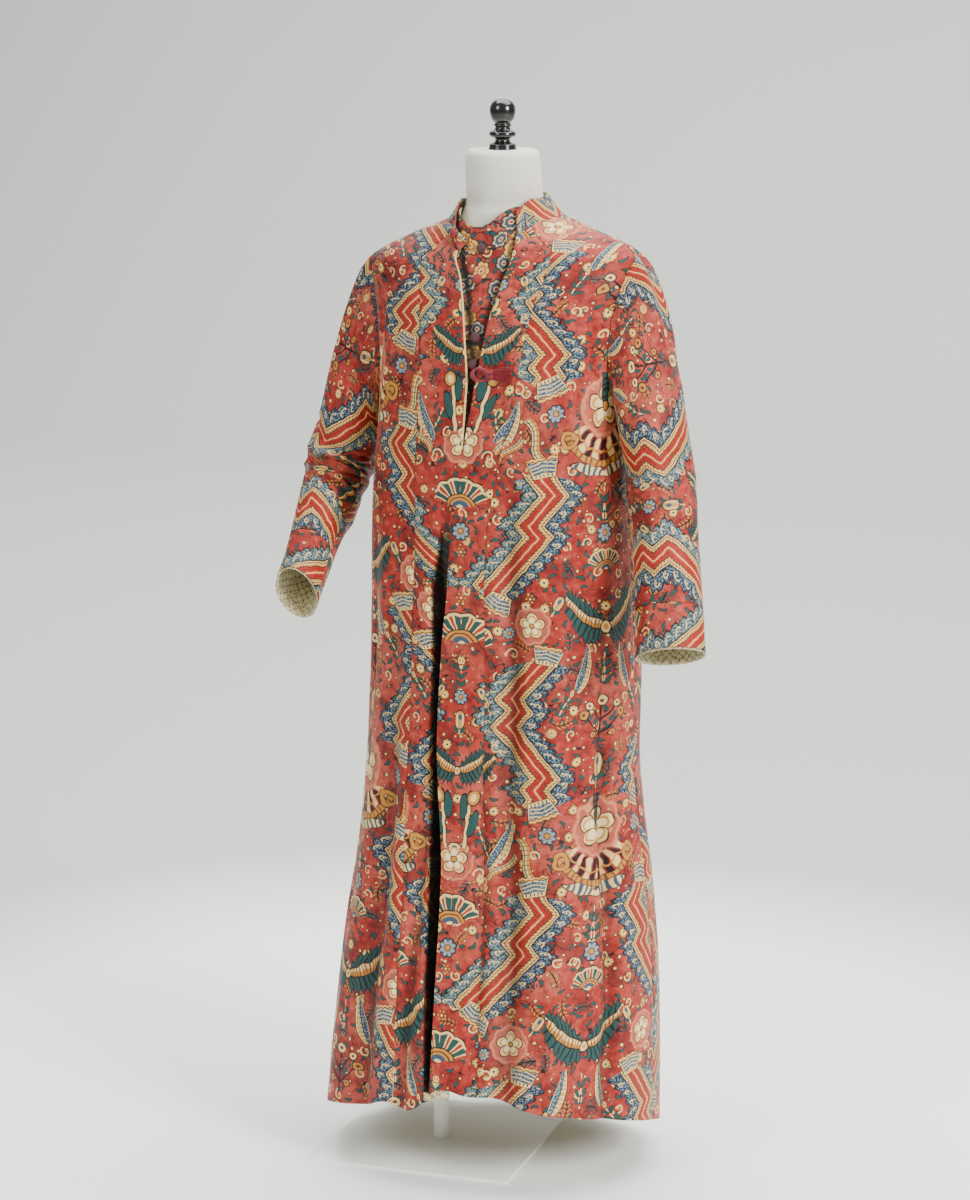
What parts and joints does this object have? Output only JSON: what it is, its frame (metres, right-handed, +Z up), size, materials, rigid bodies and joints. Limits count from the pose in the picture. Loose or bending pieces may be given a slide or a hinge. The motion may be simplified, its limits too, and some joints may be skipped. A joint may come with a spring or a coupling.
{
  "type": "banyan on a dress form",
  "caption": "Man's long open-sleeved gown of red painted cotton with a stand collar and short front slit, on a limbless dress form with pole and square plate.",
  "frame": {"origin": "centre of the stand plate's underside", "axes": "+Z up along the stand's pole, -Y the gown's front, +X the wearer's left"},
  "size_m": [0.6589, 0.4269, 1.5575],
  "materials": {
    "painted_cotton": "glazed painted cotton with a soft sheen",
    "printed_lining": "matt printed cotton",
    "covered_button": "cloth-covered button",
    "crimson_silk": "silk floss with a satin sheen",
    "form_cover": "matt off-white jersey",
    "stand_white": "white satin paint",
    "finial_black": "turned wood in black gloss paint"
  },
  "bodies": {
    "root": {"back": "painted_cotton", "base_plate": "stand_white", "button_1": "covered_button", "button_2": "covered_button", "button_3": "covered_button", "button_4": "covered_button", "button_5": "covered_button", "collar": "painted_cotton", "collar_button": "covered_button", "cuff_left": "painted_cotton", "cuff_lining_left": "printed_lining", "cuff_lining_right": "printed_lining", "cuff_right": "painted_cotton", "finial": "finial_black", "form": "form_cover", "front_centre": "painted_cotton", "front_left_side": "painted_cotton", "front_right_side": "painted_cotton", "hem_facing": "printed_lining", "pole": "stand_white", "sleeve_left": "painted_cotton", "sleeve_right": "painted_cotton", "tassel": "crimson_silk", "waistcoat_left": "painted_cotton", "waistcoat_right": "painted_cotton"}
  },
  "joints": []
}
